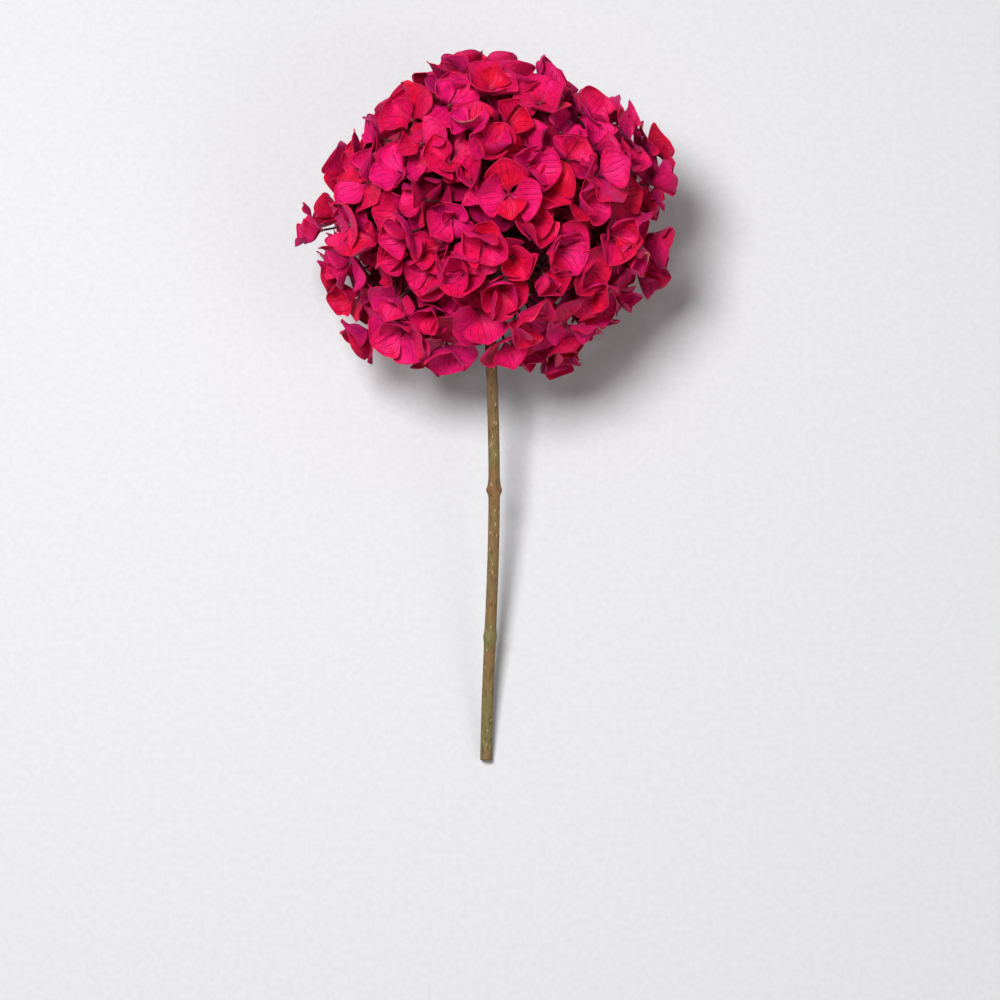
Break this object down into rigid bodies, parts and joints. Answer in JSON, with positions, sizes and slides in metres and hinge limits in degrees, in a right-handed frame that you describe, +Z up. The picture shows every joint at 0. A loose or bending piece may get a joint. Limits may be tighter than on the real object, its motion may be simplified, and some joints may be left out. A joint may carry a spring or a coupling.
{
  "type": "cut hydrangea",
  "caption": "Cut mophead hydrangea lying on its side: a bare woody stem, fanned rays and a domed head of crimson-pink four-sepalled florets.",
  "frame": {"origin": "middle of the flower's footprint, on the surface it lies on", "axes": "+Z up from the surface, +Y along the flower from the stem's cut end towards the head, +X across the head"},
  "size_m": [0.1724, 0.3296, 0.1448],
  "materials": {
    "stem": "matte",
    "stalk": "matte",
    "sepals": "matte"
  },
  "bodies": {
    "root": {"stem": "stem", "ray_01": "stalk", "ray_02": "stalk", "ray_03": "stalk", "ray_04": "stalk", "ray_05": "stalk", "ray_06": "stalk", "ray_07": "stalk", "ray_08": "stalk", "cyme_01": "sepals", "cyme_02": "sepals", "cyme_03": "sepals", "cyme_04": "sepals", "cyme_05": "sepals", "cyme_06": "sepals", "cyme_07": "sepals", "cyme_08": "sepals", "cyme_09": "sepals", "cyme_10": "sepals", "cyme_11": "sepals", "cyme_12": "sepals", "cyme_13": "sepals", "cyme_14": "sepals", "cyme_15": "sepals", "cyme_16": "sepals", "cyme_17": "sepals", "cyme_18": "sepals", "cyme_19": "sepals", "cyme_20": "sepals", "cyme_21": "sepals", "cyme_22": "sepals", "cyme_23": "sepals", "cyme_24": "sepals", "cyme_25": "sepals", "cyme_26": "sepals", "cyme_27": "sepals", "cyme_28": "sepals", "cyme_29": "sepals", "cyme_30": "sepals", "cyme_31": "sepals", "cyme_32": "sepals", "cyme_33": "sepals", "cyme_34": "sepals", "cyme_35": "sepals", "cyme_36": "sepals", "cyme_37": "sepals", "cyme_38": "sepals", "cyme_39": "sepals", "cyme_40": "sepals", "cyme_41": "sepals", "cyme_42": "sepals", "cyme_43": "sepals", "cyme_44": "sepals", "cyme_45": "sepals", "cyme_46": "sepals", "cyme_47": "sepals", "cyme_48": "sepals", "cyme_49": "sepals"}
  },
  "joints": []
}
